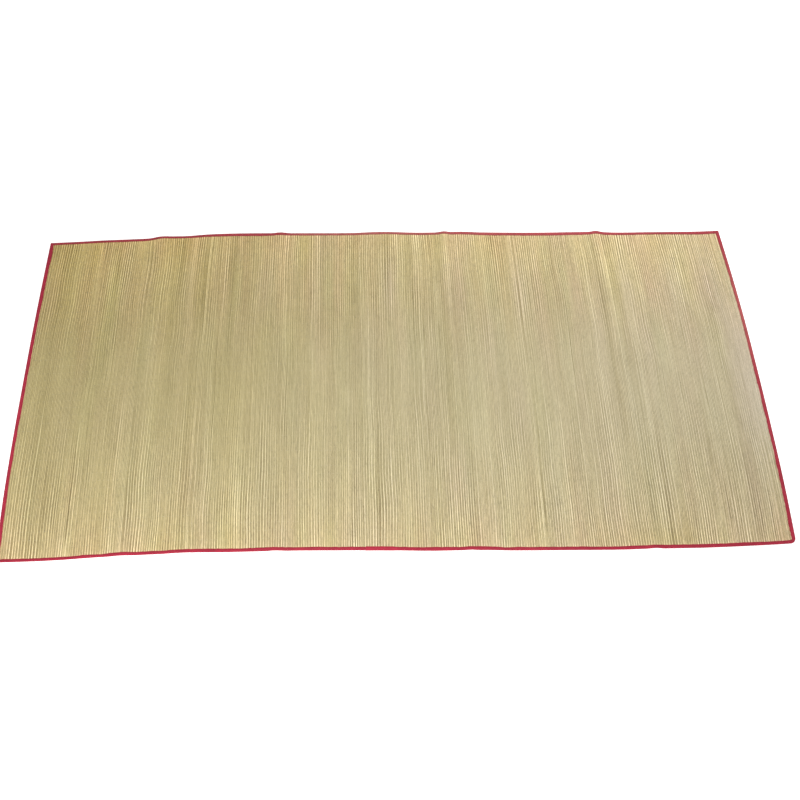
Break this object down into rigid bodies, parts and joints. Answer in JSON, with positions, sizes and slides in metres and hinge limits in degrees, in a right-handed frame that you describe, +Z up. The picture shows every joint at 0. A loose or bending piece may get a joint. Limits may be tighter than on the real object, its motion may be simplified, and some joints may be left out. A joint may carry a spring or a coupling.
{
  "type": "straw beach mat",
  "caption": "Flat rectangular straw mat with soft fold creases across it and a cloth tape folded over and sewn round its rim; it lies on sand or a floor.",
  "frame": {"origin": "bottom centre of the mat's bounding box, on the surface it lies on", "axes": "+X along the mat's length, +Y across it along the straws and away from the viewer, +Z up"},
  "size_m": [1.8158, 0.9244, 0.0074],
  "materials": {
    "straw": "dry plant straw, pale yellow-green to tan, satin skin, woven side by side with fine warp threads",
    "binding_tape": "crimson cotton tape, plain weave, matt"
  },
  "bodies": {
    "root": {"straw_panel": "straw", "edge_binding": "binding_tape"}
  },
  "joints": []
}
